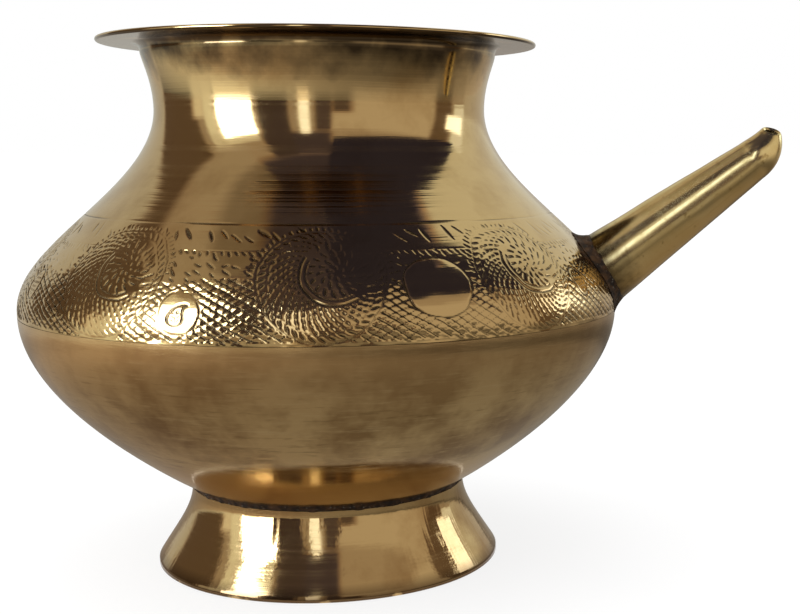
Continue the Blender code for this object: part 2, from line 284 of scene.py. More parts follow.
def rubbedBrass(name, look):
    material, add, dress, place = newMaterial(name)
    height = add("SeparateXYZ", (place,), "Z")
    cloud = add("TexNoise", {"Vector": place, "Scale": 1 / (look["cloud"] * mm), "Detail": 4.0,
                             "Roughness": 0.62})
    # Stretched round the pot, so a streak is about twelve times as long as it is high
    flat = add("Mapping", {"Vector": place, "Scale": (0.08, 0.08, 1.0)})
    streak = add("TexNoise", {"Vector": flat, "Scale": 1 / (look["streak"] * mm), "Detail": 4.0,
                              "Roughness": 0.7})
    fineStreak = add("TexNoise", {"Vector": flat, "Scale": 1 / (look["fineStreak"] * mm)})
    streaks = add("Math", (fineStreak, 0.4, streak), operation="MULTIPLY_ADD")
    bump = add("Bump", {"Height": streaks, "Distance": look["streakHeight"] * mm})
    # Heat from the seam's brazing left the upper bowl a little redder, and the bowl's lowest part,
    # caught by the buffing wheel that polished the foot, is painted brighter as a painted reflection of the
    # foot
    layers = [(cloud, 0.41, 0.63, 1.0, "brown"), (streaks, 0.74, 0.98, 0.55, "pale"),
              (streaks, 0.62, 0.47, 0.6, "fleck"),
              (height, *(z * mm for z in look["warmHeights"]), 0.6, "warmTop"),
              (height, *(z * mm for z in look["paintedReflectionHeights"]), 0.85, "bright")]
    gloss = add("MapRange", (streaks, 0.45, 0.95, *look["roughness"]))
    tangent = add("Tangent", direction_type="RADIAL", axis="Z")
    dress({"Base Color": layColours(add, look, layers), "Roughness": gloss, "Normal": bump,
           "Tangent": tangent, "Metallic": 1.0, "Anisotropic": look["anisotropic"],
           "Anisotropic Rotation": 0.25})
    return material


satinBrass = rubbedBrass("satinEmeriedBrass", satinSet)

# Brass sheet rolled and filed along its length, then left: olive-gold, with file marks along the tube.
# Sizes in mm; the soot comes in along the sheet, which runs from the root inside, 0, to the root outside, 1
filedSet = dict(
    colour="#F6E0A4", olive="#E9CF8C", dark="#B09258", cloud=7.0, roughness=(0.13, 0.24), round=36.0,
    length=44.0, mark=0.6, markLength=24.0, markHeight=0.010, brown="#DCB272", shadedUndersideFacing=(0.25, -0.5),
    spot=1.5, soot="#3A2C1E", sootFrom=(0.94, 1.015), sootUneven=0.06)


def filedBrass(name, look):
    material, add, dress, place = newMaterial(name)
    cloud = add("TexNoise", {"Vector": place, "Scale": 1 / (look["cloud"] * mm), "Detail": 5.0,
                             "Roughness": 0.6})
    unrolled = add("UVMap", uv_map="OFBake")
    marksAcross, marksAlong = look["round"] / look["mark"], 2 * look["length"] / look["markLength"]
    marks = add("Mapping", {"Vector": unrolled, "Scale": (marksAcross, marksAlong, 1.0)})
    mark = add("TexNoise", {"Vector": marks, "Scale": 1.0, "Detail": 3.0, "Roughness": 0.6})
    bump = add("Bump", {"Height": mark, "Distance": look["markHeight"] * mm})
    # Painted shade: browner and darker underneath, where it faces down; dark spots of tarnish; and black from
    # the torch near the root
    facingUp = add("SeparateXYZ", (add("NewGeometry", output="Normal"),), "Z")
    spots = add("TexNoise", {"Vector": place, "Scale": 1 / (look["spot"] * mm), "Detail": 3.0})
    along = add("SeparateXYZ", (unrolled,), "Y")
    uneven = add("Math", (spots, look["sootUneven"], along), operation="MULTIPLY_ADD")
    layers = [(cloud, 0.4, 0.66, 1.0, "olive"), (facingUp, *look["shadedUndersideFacing"], 0.7, "brown"),
              (mark, 0.56, 0.75, 0.45, "dark"), (spots, 0.64, 0.74, 0.7, "dark"),
              (uneven, *look["sootFrom"], 0.8, "soot")]
    gloss = add("MapRange", (cloud, 0.35, 0.65, *look["roughness"]))
    dress({"Base Color": layColours(add, look, layers), "Roughness": gloss, "Normal": bump, "Metallic": 1.0})
    return material


agedBrass = filedBrass("filedAgedBrass", filedSet)

# Hard solder as it ran, black with oxide and flux, with grey metal where it was rubbed; sizes in mm
solderSet = dict(
    colour="#2A211B", brown="#5A4028", speck="#8B8276", roughness=0.66, metal=0.5, lump=1.3, grain=0.5,
    lumpHeight=0.16)
# Braze as it ran: the same lumps, but brassy and all metal
brazeSet = dict(solderSet, colour="#8A6A34", brown="#5E4526", speck="#B99A60", metal=1.0)


def oxidisedSolder(name, look):
    material, add, dress, place = newMaterial(name)
    lump = add("TexNoise", {"Vector": place, "Scale": 1 / (look["lump"] * mm), "Detail": 4.0,
                            "Roughness": 0.6})
    grain = add("TexNoise", {"Vector": place, "Scale": 1 / (look["grain"] * mm), "Detail": 3.0})
    bump = add("Bump", {"Height": lump, "Distance": look["lumpHeight"] * mm})
    layers = [(lump, 0.4, 0.65, 1.0, "brown"), (grain, 0.62, 0.70, 0.8, "speck")]
    dress({"Base Color": layColours(add, look, layers), "Normal": bump, "Metallic": look["metal"],
           "Roughness": look["roughness"]})
    return material


darkSolder = oxidisedSolder("oxidisedHardSolder", solderSet)
brazeBrass = oxidisedSolder("rawBraze", brazeSet)
print("materials made")


# Upper sheet in mm: rim, neck and shoulder; lengths are measured up the wall from the widest line
upper = dict(
    sheet=0.8, bellyRadius=59.0, bellyHeight=52.5, bellyHold=12.7, waistRadius=32.4, waistHeight=90.7,
    waistHold=15.0, neckTopRadius=34.6, neckHold=5.4, neckTopHold=1.4, rimRadius=42.7, rimHeight=103.8,
    rimFillet=1.5, rimRound=0.4, seamHeight=51.6, borderTop=23.4, borderBottom=16.6, fieldMiddle=8.0,
    columns=1680, cell=0.22, skin=0.5, skinGap=0.06, plainColumns=320)
underRim = upper["rimHeight"] - upper["sheet"]
neckTop = underRim - upper["rimFillet"]
flangeEnd = upper["neckTopRadius"] + upper["rimFillet"]
rimEnd = upper["rimRadius"] - upper["rimRound"]
fieldLow = upper["seamHeight"] - upper["bellyHeight"]
belly = np.array([upper["bellyRadius"], upper["bellyHeight"]])
waist = np.array([upper["waistRadius"], upper["waistHeight"]])
neckEnd = np.array([upper["neckTopRadius"], neckTop])
wallUp = bezier(waist, waist - straightUp * upper["waistHold"],
                belly + straightUp * upper["bellyHold"], belly, 600)[::-1]
wallLength = np.concatenate([[0], np.cumsum(norm(np.diff(wallUp, axis=0), axis=1))])


def onWall(length):
    # Radius and height on the shoulder at a length up from the widest line; below it the skirt is straight
    r = np.interp(length, wallLength, wallUp[:, 0])
    z = np.where(length < 0, upper["bellyHeight"] + length, np.interp(length, wallLength, wallUp[:, 1]))
    return np.stack([r, z], -1)


def wallRadius(height):
    # Outer radius of the shoulder at a height, for the spout's root
    return np.interp(height, wallUp[:, 1], wallUp[:, 0])


neckCurve = bezier(neckEnd, neckEnd - straightUp * upper["neckTopHold"],
                   waist + straightUp * upper["neckHold"], waist, 24)
fillet = arcLine(flangeEnd, neckTop, upper["rimFillet"], 90, 180, 10)
upperWall = onWall(np.linspace(wallLength[-1], upper["borderTop"], 60))
flange = np.stack([np.linspace(rimEnd, flangeEnd, 12), np.full(12, underRim)], 1)
plainOuter = np.concatenate([flange[:-1], fillet[:-1], neckCurve[:-1], upperWall])
plainInner = offsetLine(plainOuter, -upper["sheet"])
edge = arcLine(rimEnd, underRim + upper["rimRound"], upper["rimRound"], 80, -80, 9)
topRows = len(flange) + len(fillet) - 2
print("shoulder line drawn")


# Engraving in mm: nine leafy roundels with medallions between, on a crosshatched ground under a border
pattern = dict(
    units=9, start=11.4, deep=0.12, line=0.40, seed=41, roundel=10.0, roundelRadius=10.7, ringWidth=1.5,
    rope=42, dashes=64, rimLeaves=24, leafPlace=(2.4, 2.0), leafRadius=6.2, crescentDashes=40,
    crescentRow=0.85, hatchWide=2.35, hatchHigh=1.4, hatchTop=10.5, cellTilt=0.27, cellLean=0.22, boss=0.3,
    strokePitch=2.2, strokeRise=1.6, tickPitch=1.5, tickMiddle=15.7, almondPitch=2.806, almondLong=4.2,
    almondWide=0.8, almondMiddle=20.0, worn=1.12, wornUpwards=0.022, wornUneven=0.8, planish=0.042,
    planishSize=2.4, planishTop=16.4, planishFade=0.6, edgeFade=0.2)
# The medallions come in turn: a large plain disc, a small dashed oval, and a small disc with a bent leaf;
# half width and height, the middle's height, how far off the middle of its gap, mm, and the outline's depth
medallions = dict(
    halfWide=(6.0, 2.3, 3.9), halfHigh=(5.9, 3.0, 3.9), middle=(8.8, 7.0, 4.4), aside=(0.3, -4.5, -3.8),
    outline=(1.0, 1.0, 0.55))
# Rows of leaf cuts in a roundel: distance from the leaf's middle, how many, and each cut's length and width
leafRows = [(4.2, 17, 1.7, 0.62), (2.6, 11, 1.5, 0.58), (1.15, 6, 1.1, 0.5)]


def cutLine(distance, width, deep=1.0):
    # A graver's cut: deepest along its line, with sloping sides
    return deep * np.clip(1.15 - np.abs(distance) / (width / 2), 0, 1)


def cutAlmond(u, v, long, wide, lean):
    # A single push of the graver: pointed at both ends
    along = u * np.sin(lean) + v * np.cos(lean)
    across = u * np.cos(lean) - v * np.sin(lean)
    half = wide / 2 * np.clip(1 - (along / (long / 2)) ** 2, 0, 1)
    return np.clip(1.2 * (1 - np.abs(across) / np.maximum(half, 0.02)), 0, 1) * (half > 0.04)


def randomOf(number, seed):
    # A repeatable number from 0 to 1 for each whole number
    key = (number.astype(np.int64) * 374761393 + seed * 668265263) & 0x7FFFFFFF
    key = (key ^ (key >> 13)) * 1274126177 & 0x7FFFFFFF
    return (key ^ (key >> 16)) % 100003 / 100003


def nearest(turn, pitch, radius):
    # Distance along the wall to the nearest of a row of marks, and that mark's number
    spot = turn / pitch
    return (spot - np.round(spot)) * pitch * radius, np.round(spot)


def roundRing(swing, count, radius, shift=0):
    # Distance along a ring to the nearest of its evenly spread marks
    return (np.mod(swing * count / fullTurn + shift, 1) - 0.5) * fullTurn * radius / count


def mangoLeaf(u, v):
    # A drop-shaped leaf whose tip bends over, with a rib and a few side cuts
    edge = np.full(u.shape, 9.0)
    for t in np.linspace(0, 1, 9):
        away = np.hypot(u + 0.5 - 1.9 * t * t, v + 1.0 - 3.0 * t + 0.5 * t ** 4)
        edge = np.minimum(edge, away - 1.35 * (1 - t) ** 0.9 - 0.1)
    rib = np.where((v > -1.9) & (v < 0.8), np.abs(u + 0.5 - 0.25 * (v + 1.0) ** 2), 9.0)
    cut = np.maximum(cutLine(edge, 0.46), cutLine(rib, 0.36, 0.8))
    for lift in (-1.5, -0.8, -0.1):
        pair = cutAlmond(u + 0.95, v - lift, 0.9, 0.4, -0.8) + cutAlmond(u + 0.05, v - lift, 0.9, 0.4, 0.8)
        cut = np.maximum(cut, pair)
    return np.minimum(cut, 1.0)


def engravedDepth(turn, length, places):
    # Depth of the cuts, 0 to 1, at each bearing (radians) and length up the wall (mm), and how far
    # the tilted cells and the large discs stand out, mm
    def noise(size, seed):
        return roughNoise(places, size, pattern["seed"] + seed)

    wobble = 0.4 * noise(4.4, 0) + 0.12 * noise(1.4, 6)
    hand = 1 + 0.32 * noise(2.3, 2)
    line = pattern["line"] * hand
    radius = onWall(length)[..., 0]
    unit = fullTurn / pattern["units"]
    units = (turn - radians(pattern["start"])) / unit
    index, gap = np.round(units), np.floor(units)
    u = (units - index) * unit * radius + wobble
    v = length + 0.4 * noise(4.9, 1) + 0.12 * noise(1.5, 7)
    cuts = []

    # Distances from the middle of the roundel, of its leaf, and of the medallion half a unit away
    v1 = v - pattern["roundel"]
    roundel, swing = np.hypot(u, v1), np.arctan2(v1, u)
    leafU, leafV = u - pattern["leafPlace"][0], v1 - pattern["leafPlace"][1]
    leaf, leafSwing = np.hypot(leafU, leafV) - pattern["leafRadius"], np.arctan2(leafV, leafU)
    kind = np.mod(gap, 3).astype(int)
    halfWide, halfHigh, middle, aside, outline = (np.array(each)[kind] for each in medallions.values())
    u2 = (units - gap - 0.5) * unit * radius + wobble - aside
    v2 = v - middle
    medallion = (np.hypot(u2 / halfWide, v2 / halfHigh) - 1) * np.minimum(halfWide, halfHigh)
    outer, inner = pattern["roundelRadius"], pattern["roundelRadius"] - pattern["ringWidth"]
    inRoundel, inMedallion = roundel < outer + 0.4, medallion < 0.3
    free = ~(inRoundel | inMedallion)

    # Crosshatched ground: one set of cuts is stronger, the other fades, and each cell is a little tilted
    slope = pattern["hatchHigh"] / pattern["hatchWide"]
    square = cos(atan(slope))
    ground = free & (v < pattern["hatchTop"] + 1.6 * noise(5.0, 3)) & (v > -0.4)
    fading = np.clip(1.0 + 0.9 * noise(7.0, 4), 0.25, 1)
    cells, tilts = 0, 0
    for sign, width, deep in ((1, 0.37, 0.95), (-1, 0.28, 0.9 * fading)):
        row = (v + sign * slope * radius * turn) / pattern["hatchHigh"]
        number = np.floor(row)
        away = (row - np.round(row)) * pattern["hatchHigh"] * square
        cuts.append(cutLine(away, width * hand, deep) * ground)
        cells = cells * 7919 + number * 131
        tilt = randomOf(number * 17 + cells, 8 + sign) - 0.5 + pattern["cellLean"]
        tilts = tilts + (row - number - 0.5) * tilt
    boss = np.clip(1 - (u2 / halfWide) ** 2 - (v2 / halfHigh) ** 2, 0, 1) * (kind == 0) * ~inRoundel
    raised = pattern["cellTilt"] * tilts * ground + pattern["boss"] * boss

    # Loose strokes over the hatching, and round the upper half of the roundels
    across, up = radius * turn / pattern["strokePitch"], v / pattern["strokeRise"]
    cellU, cellV = np.floor(across), np.floor(up)
    number = cellU * 131 + cellV * 7919
    strokeU = (across - cellU - 0.3 - 0.4 * randomOf(number, 1)) * pattern["strokePitch"]
    strokeV = (up - cellV - 0.3 - 0.4 * randomOf(number, 2)) * pattern["strokeRise"]
    strokeLong, strokeLean = 1.2 + 1.0 * randomOf(number, 5), -0.4 - 1.5 * randomOf(number, 3)
    stroke = cutAlmond(strokeU, strokeV, strokeLong, 0.62 * hand, strokeLean)
    loose = free & ~ground & (v > 3) & (v < pattern["tickMiddle"] - 0.4) & (randomOf(number, 4) < 0.85)
    cuts.append(0.9 * stroke * loose)

    # Roundel: a roped ring between two cuts, dashes outside, leaf cuts inside and a dashed crescent below
    inside = (roundel < inner) & ~inMedallion
    ropeU = roundRing(swing, pattern["rope"], outer)
    rope = cutAlmond(ropeU, roundel - (outer + inner) / 2, 1.7, 0.6 * hand, 0.9)
    ring = np.maximum(cutLine(roundel - outer, line, 0.6), cutLine(roundel - inner, line, 0.4))
    cuts.append(np.maximum(ring, 0.9 * rope) * ~inMedallion)
    dashed = (roundel > outer + 0.45) & (roundel < outer + 1.3 * hand) & (v1 > 1.0) & ~inMedallion
    cuts.append(cutLine(roundRing(swing, pattern["dashes"], outer), 0.42, 0.85) * dashed)
    rimU = roundRing(swing, pattern["rimLeaves"], inner - 1.4)
    rimLeaf = cutAlmond(rimU, roundel - (inner - 1.4), 2.2 * hand, 0.62, 0.4)
    cuts.append(0.9 * rimLeaf * (leaf < 0.5) * (leaf > -1.6) * inside)
    for within, width, deep in ((0.0, line, 0.95), (1.0, 0.38 * hand, 0.75)):
        cuts.append(cutLine(leaf + within, width, deep) * inside * (v1 < 2.5 - u))
    for away, count, long, wide in leafRows:
        rowU = roundRing(leafSwing, count, away, 0.37 * index)
        rowV = leaf + pattern["leafRadius"] - away
        cuts.append(0.9 * cutAlmond(rowU, rowV, long * hand, wide, 0.5) * inside)
    row = np.floor((leaf - 0.35) / pattern["crescentRow"])
    rowU = roundRing(leafSwing, pattern["crescentDashes"], 7.5, 0.5 * np.mod(row, 2))
    rowV = leaf - 0.35 - (row + 0.5) * pattern["crescentRow"]
    cuts.append(0.9 * cutAlmond(rowU, rowV, 0.95, 0.42 * hand, 0.7) * inside * (row >= 0))

    # Medallions
    cuts.append(cutLine(medallion, line, outline) * (roundel > outer - 0.3))
    ovalRow = np.floor(v2 / 0.8)
    ovalU = (np.mod(u2 / 0.9 + 0.5 * np.mod(ovalRow, 2), 1) - 0.5) * 0.9
    oval = cutAlmond(ovalU, v2 - (ovalRow + 0.5) * 0.8, 0.8, 0.42, 0.7)
    cuts.append(0.9 * oval * (kind == 1) * (medallion < -0.6))
    cuts.append(mangoLeaf(u2, v2) * (kind == 2) * (medallion < -0.2))

    # Border: two turned lines, slanted almonds between them and a row of ticks under them, none quite alike
    cuts.append(cutLine(length - (upper["borderTop"] - 0.5), 0.42, 0.8))
    cuts.append(cutLine(length - upper["borderBottom"], 0.36, 0.4) * (roundel > outer))
    almondU, number = nearest(turn, pattern["almondPitch"] / upper["bellyRadius"], radius)
    almondV = v - pattern["almondMiddle"] - 1.2 * (randomOf(number, 7) - 0.5)
    almondLong = pattern["almondLong"] * (0.65 + 0.4 * randomOf(number, 9))
    almondLean = -0.25 - 0.75 * randomOf(number, 6)
    almond = cutAlmond(almondU, almondV, almondLong, pattern["almondWide"] * hand, almondLean)
    cuts.append(0.9 * almond * ~inRoundel * (randomOf(number, 10) < 0.75))
    tickU, number = nearest(turn, pattern["tickPitch"] / upper["bellyRadius"], radius)
    tickV = v - pattern["tickMiddle"] - 0.6 * randomOf(number, 5)
    tick = cutAlmond(tickU, tickV, 1.5, 0.6 * hand, -0.2 - 0.7 * randomOf(number, 6))
    cuts.append(0.85 * tick * ~inRoundel)

    # Long polishing has worn the cuts, more so higher up
    kept = pattern["worn"] - pattern["wornUpwards"] * np.clip(length, 0, 30)
    kept = kept + pattern["wornUneven"] * noise(9.0, 5)
    return np.maximum.reduce(cuts) * np.clip(kept, 0.2, 1), raised


# Spout in mm and degrees: it leaves the wall above the widest line and curls up to a mouth filed askew
spout = dict(
    height=59.5, rise=36.4, radius=7.2, straight=36.0, endRadius=4.15, curlRadius=9.9, curlTurn=40.0,
    mouthRadius=2.1, sheet=0.7, askew=0.34, gap=0.3, search=14.0, nearSide=-20.0, plug=(-9.0, 14.0),
    plugSides=64, columns=72, straightRows=44, curlRows=19, lipRows=7, uneven=0.08, unevenSize=2.4)
rise = radians(spout["rise"])
ahead = np.array([cos(rise), 0.0, sin(rise)])
upward = np.array([-sin(rise), 0.0, cos(rise)])
spoutStart = np.array([axisX + float(wallRadius(spout["height"])), 0.0, spout["height"]])


def spoutTaper(along):
    return spout["radius"] + (spout["endRadius"] - spout["radius"]) * along / spout["straight"]


def wallMeets(swing, shrink, gap):
    # How far along the spout one side of it comes out of the pot's wall
    inside, outside = -spout["search"], spout["search"]
    away = upward * cos(swing) + sideways * sin(swing)
    for _ in range(40):
        middle = (inside + outside) / 2
        place = spoutStart + ahead * middle + away * (spoutTaper(middle) - shrink)
        under = hypot(place[0] - axisX, place[1]) < wallRadius(place[2]) + gap
        inside, outside = (middle, outside) if under else (inside, middle)
    return outside


def insideBore(places):
    # True where a point near the wall, on the spout's side, lies in the spout's bore
    fromStart = places - spoutStart
    along = fromStart @ ahead
    aside = norm(fromStart - along[..., None] * ahead, axis=-1)
    inTube = aside < spoutTaper(along) - spout["sheet"] + spout["gap"]
    return inTube & (fromStart[..., 0] > spout["nearSide"])


def engravedShell(name, low, high):
    # A band of the shoulder with its cuts as real grooves and a plain back behind them
    rows = int(round((high - low) / upper["cell"])) + 1
    lengths = np.linspace(high, low, rows)
    line = onWall(lengths)
    normal = offsetLine(line, 1.0) - line
    places = turnPlaces(line, upper["columns"])
    turns = np.arange(upper["columns"]) * fullTurn / upper["columns"]
    turn = np.broadcast_to(np.where(turns > pi, turns - fullTurn, turns), places.shape[:2])
    groove, raised = engravedDepth(turn, np.broadcast_to(lengths[:, None], turn.shape), places)
    fade = np.clip((pattern["planishTop"] - lengths) / pattern["planishFade"], 0, 1)[:, None]
    hammered = pattern["planish"] * roughNoise(places, pattern["planishSize"], 7) * fade
    sink = pattern["deep"] * groove - hammered - raised
    fromEdge = np.minimum(upper["borderTop"] - lengths, lengths - fieldLow)
    sink *= np.clip(fromEdge / pattern["edgeFade"], 0, 1)[:, None]
    out = np.stack([normal[:, 0, None] * np.sin(turn), -normal[:, 0, None] * np.cos(turn),
                    normal[:, 1, None] + 0 * turn], -1)
    front = places - sink[..., None] * out
    backLine = offsetLine(onWall(np.linspace(high, low, 5)), -upper["skin"])[::-1]
    back = turnPlaces(backLine, upper["columns"])
    whole = np.concatenate([front, back])
    below = np.roll(whole, -1, 0)
    middles = (whole + below + np.roll(whole, -1, 1) + np.roll(below, -1, 1)) / 4
    made = gridObject(name, whole, [engravedBrass, dullBrass], innerFrom=rows, sharp=75,
                      numbers={"groove": np.concatenate([groove, np.zeros(back.shape[:2])])},
                      skip=insideBore(middles))
    putOnPot(made, "neck_and_shoulder")


engravedShell("engravedFieldLow", fieldLow, upper["fieldMiddle"])
engravedShell("engravedFieldHigh", upper["fieldMiddle"], upper["borderBottom"])
engravedShell("engravedBorder", upper["borderBottom"], upper["borderTop"])
print("engraving cut")

plainSection = np.concatenate([plainInner[:topRows][::-1], edge, plainOuter, plainInner[topRows:][::-1]])
rimPlaces = turnPlaces(plainSection, upper["plainColumns"])
rimAndNeck = gridObject("rimAndNeck", rimPlaces, [polishedBrass, dullBrass],
                        innerFrom=topRows + len(edge) + len(plainOuter))
putOnPot(rimAndNeck, "neck_and_shoulder")


def mergePoles(piece):
    # Points that fall together on an axis become one
    shape = bmesh.new()
    shape.from_mesh(piece.data)
    bmesh.ops.remove_doubles(shape, verts=shape.verts, dist=0.002 * mm)
    shape.to_mesh(piece.data)
    shape.free()


def boreCutter():
    # A plain tapered plug where the spout's bore runs through the wall
    sides = spout["plugSides"]
    swings = np.linspace(0, fullTurn, sides, endpoint=False)[:, None]
    away = upward * np.cos(swings) + sideways * np.sin(swings)
    middles = [spoutStart + ahead * along for along in spout["plug"]]
    rings = [middle + away * (spoutTaper(along) - spout["sheet"])
             for middle, along in zip(middles, spout["plug"])]
    poles = [np.repeat(middle[None], sides, 0) for middle in middles]
    plug = gridObject("boreCutter", np.stack([poles[0], *rings, poles[1]]), [], looped=False)
    mergePoles(plug)
    return plug


def cutBore(piece, cutter):
    # The hole is cut into the mesh itself
    boolean = piece.modifiers.new("bore", "BOOLEAN")
    boolean.operation, boolean.solver, boolean.object = "DIFFERENCE", "EXACT", cutter
    graph = bpy.context.evaluated_depsgraph_get()
    cut = bpy.data.meshes.new_from_object(piece.evaluated_get(graph))
    piece.modifiers.clear()
    piece.data = cut
    piece.data.name = piece.name


cutter = boreCutter()
liningWall = onWall(np.linspace(upper["borderTop"], fieldLow, 48))
liningOuter = offsetLine(liningWall, -upper["skin"] - upper["skinGap"])
liningInner = offsetLine(liningWall, -upper["sheet"])
liningSection = np.concatenate([liningOuter, liningInner[::-1]])
lining = gridObject("shoulderInside", turnPlaces(liningSection, upper["plainColumns"]), [dullBrass])
cutBore(lining, cutter)
putOnPot(lining, "neck_and_shoulder")
print("rim, neck and inside of the shoulder turned")


# Lower bowl in mm, with the lip that slips up inside the skirt; the knuckle is where its wall turns in
bowl = dict(
    sheet=0.8, topRadius=59.0, top=51.52, hold=12.7, knuckle=(32.8, 19.4), knuckleRise=0.66,
    knuckleHold=10.7, bottom=9.5, lipRadius=57.88, lipTop=53.6, lipRoot=0.6, columns=320, uneven=0.05,
    unevenSize=16.0)
bowlTop = np.array([bowl["topRadius"], bowl["top"]])
knuckle = np.array(bowl["knuckle"])
turnIn = np.array([1.0, bowl["knuckleRise"]])
third = knuckle[0] / 3
bowlSide = bezier(bowlTop, bowlTop - straightUp * bowl["hold"],
                  knuckle + turnIn * bowl["knuckleHold"], knuckle, 60)
bowlUnder = bezier(knuckle, knuckle - turnIn * third, (third, bowl["bottom"]), (0.0, bowl["bottom"]), 30)
bowlOuter = np.concatenate([bowlSide, bowlUnder[1:]])
bowlInner = offsetLine(bowlOuter, -bowl["sheet"])
bowlInner[-1, 0] = 0.0
lipInner = bowl["lipRadius"] - bowl["sheet"]
lip = np.array([(lipInner, bowl["top"] - bowl["lipRoot"]), (lipInner, bowl["lipTop"]),
                (bowl["lipRadius"], bowl["lipTop"]), (bowl["lipRadius"], bowl["top"])])
# The inside stops four points short of the top, where it runs into the lip
bowlSection = np.concatenate([lip, bowlOuter, bowlInner[::-1][:-4]])
bowlPlaces = turnPlaces(bowlSection, bowl["columns"])
bowlPlaces[..., 2] += bowl["uneven"] * roughNoise(bowlPlaces, bowl["unevenSize"], 3)
lowerBowl = gridObject("lowerBowl", bowlPlaces, [satinBrass, dullBrass], innerFrom=len(lip) + len(bowlOuter))
mergePoles(lowerBowl)
cutBore(lowerBowl, cutter)
putOnPot(lowerBowl, "lower_bowl")
print("bowl turned")


# Foot in mm: flared sheet, open below, a little dented
foot = dict(
    sheet=1.0, radius=34.7, topRadius=27.7, top=15.54, land=1.0, flare=0.62, hold=4.9, round=0.15,
    columns=320, dent=0.09, dentSize=9.0, dentTall=0.6, dentFade=3.0)
footTop = np.array([foot["topRadius"], foot["top"]])
footLow = np.array([foot["radius"], foot["land"]])
footBack = foot["radius"] - foot["sheet"]
footCurve = bezier(footTop, footTop - straightUp * foot["hold"],
                   footLow + np.array([-foot["flare"], 1.0]) * foot["hold"], footLow, 44)
footEnd = np.array([(foot["radius"], foot["round"]), (foot["radius"] - foot["round"], 0.0),
                    (footBack + foot["round"], 0.0), (footBack, foot["round"])])
footInner = np.minimum(offsetLine(footCurve, -foot["sheet"]), np.array([footBack, foot["top"]]))
footPlaces = turnPlaces(np.concatenate([footCurve, footEnd, footInner[::-1]]), foot["columns"])
dent = foot["dent"] * roughNoise(footPlaces * np.array([1, 1, foot["dentTall"]]), foot["dentSize"], 5)
dent *= np.clip(footPlaces[..., 2] / foot["dentFade"], 0, 1)
footPlaces[..., 0] += dent * (footPlaces[..., 0] - axisX) / foot["radius"]
footPlaces[..., 1] += dent * footPlaces[..., 1] / foot["radius"]
footRing = gridObject("footRing", footPlaces, [footBrass, dullBrass], innerFrom=len(footCurve) + len(footEnd))
putOnPot(footRing, "foot_ring")

# Beads in mm: the curve of the face that shows, in (radius, height), the corner behind it, and the lumps
footBead = dict(
    curve=((28.5, 17.0), (28.1, 16.5), (27.9, 16.1), (27.62, 15.5)), points=9, corner=(27.5, 16.6),
    columns=900, rough=0.17)
brazeBead = dict(
    curve=((57.6, 55.2), (57.3, 54.8), (56.7, 54.3), (56.4, 53.95)), points=7, corner=(57.6, 53.95),
    columns=480, rough=0.15)


def runBead(name, bead, material, node):
    # A turned bead with a lumpy face; it runs a little into both sheets, so its edges wander
    face = bezier(*bead["curve"], bead["points"])
    places = turnPlaces(np.concatenate([face, [bead["corner"]]]), bead["columns"])
    lump = bead["rough"] * (roughNoise(places, 1.7, 11) + 0.6 * roughNoise(places, 0.8, 12))
    lump[-1] = 0
    out = places - np.array([axisX, 0, 0])
    out[..., 2] = -np.hypot(out[..., 0], out[..., 1]) * 0.5
    places += lump[..., None] * out / norm(out, axis=-1, keepdims=True)
    piece = gridObject(name, places, [material], sharp=0)
    putOnPot(piece, node)
    return piece


runBead("footSolder", footBead, darkSolder, "foot_solder_ring")
bellyBraze = runBead("bellyBraze", brazeBead, brazeBrass, "belly_braze_ring")
cutBore(bellyBraze, cutter)
bpy.data.objects.remove(cutter)
print("foot, solder and braze made")


def spoutPlaces(shrink):
    # Rows of points along the spout, from its saddle on the wall to the mouth, and the way the mouth faces
    swings = np.linspace(0, fullTurn, spout["columns"], endpoint=False)
    roots = np.array([wallMeets(swing, shrink, spout["gap"]) for swing in swings])
    lifts, sides = np.cos(swings)[:, None], sideways * np.sin(swings)[:, None]
    rows = []
    for t in np.linspace(0, 1, spout["straightRows"]):
        along = roots * (1 - t) + spout["straight"] * t
        away = upward * lifts + sides
        rows.append(spoutStart + ahead * along[:, None] + away * (spoutTaper(along) - shrink)[:, None])
    bend = spoutStart + ahead * spout["straight"]
    for t in np.linspace(0, 1, spout["curlRows"])[1:]:
        turn = radians(spout["curlTurn"]) * t
        leaving = ahead * cos(turn) + upward * sin(turn)
        away = (upward * cos(turn) - ahead * sin(turn)) * lifts + sides
        middle = bend + spout["curlRadius"] * (ahead * sin(turn) + upward * (1 - cos(turn)))
        radius = spout["endRadius"] + (spout["mouthRadius"] - spout["endRadius"]) * t ** 2 - shrink
        askew = spout["askew"] * t ** 2 * radius * np.sin(swings)
        rows.append(middle + away * radius + leaving * askew[:, None])
    return np.stack(rows), leaving


tubeOuter, leaving = spoutPlaces(0.0)
tubeInner, _ = spoutPlaces(spout["sheet"])
t = np.linspace(0, 1, spout["lipRows"])[1:-1, None, None]
mouth = tubeOuter[-1] * (1 - t) + tubeInner[-1] * t + leaving * spout["sheet"] / 2 * np.sin(pi * t)
tube = np.concatenate([tubeOuter, mouth, tubeInner[::-1]])
filed = spout["uneven"] * roughNoise(tube * np.array([0.4, 1, 0.55]), spout["unevenSize"], 21)
tube[..., 2] += filed
tube[..., 1] += 0.6 * filed
spoutTube = gridObject("spoutTube", tube, [agedBrass, dullBrass], innerFrom=len(tubeOuter) + len(mouth))
putOnPot(spoutTube, "spout_tube")

# Solder round the spout's root in mm, as it ran: more of it above and below than at the sides
rootBead = dict(
    leg=1.5, ends=0.6, rough=0.4, sunk=0.08, film=0.05, hollow=0.45, deep=0.1, underSeam=0.6, lump=0.12,
    columns=160, points=8)


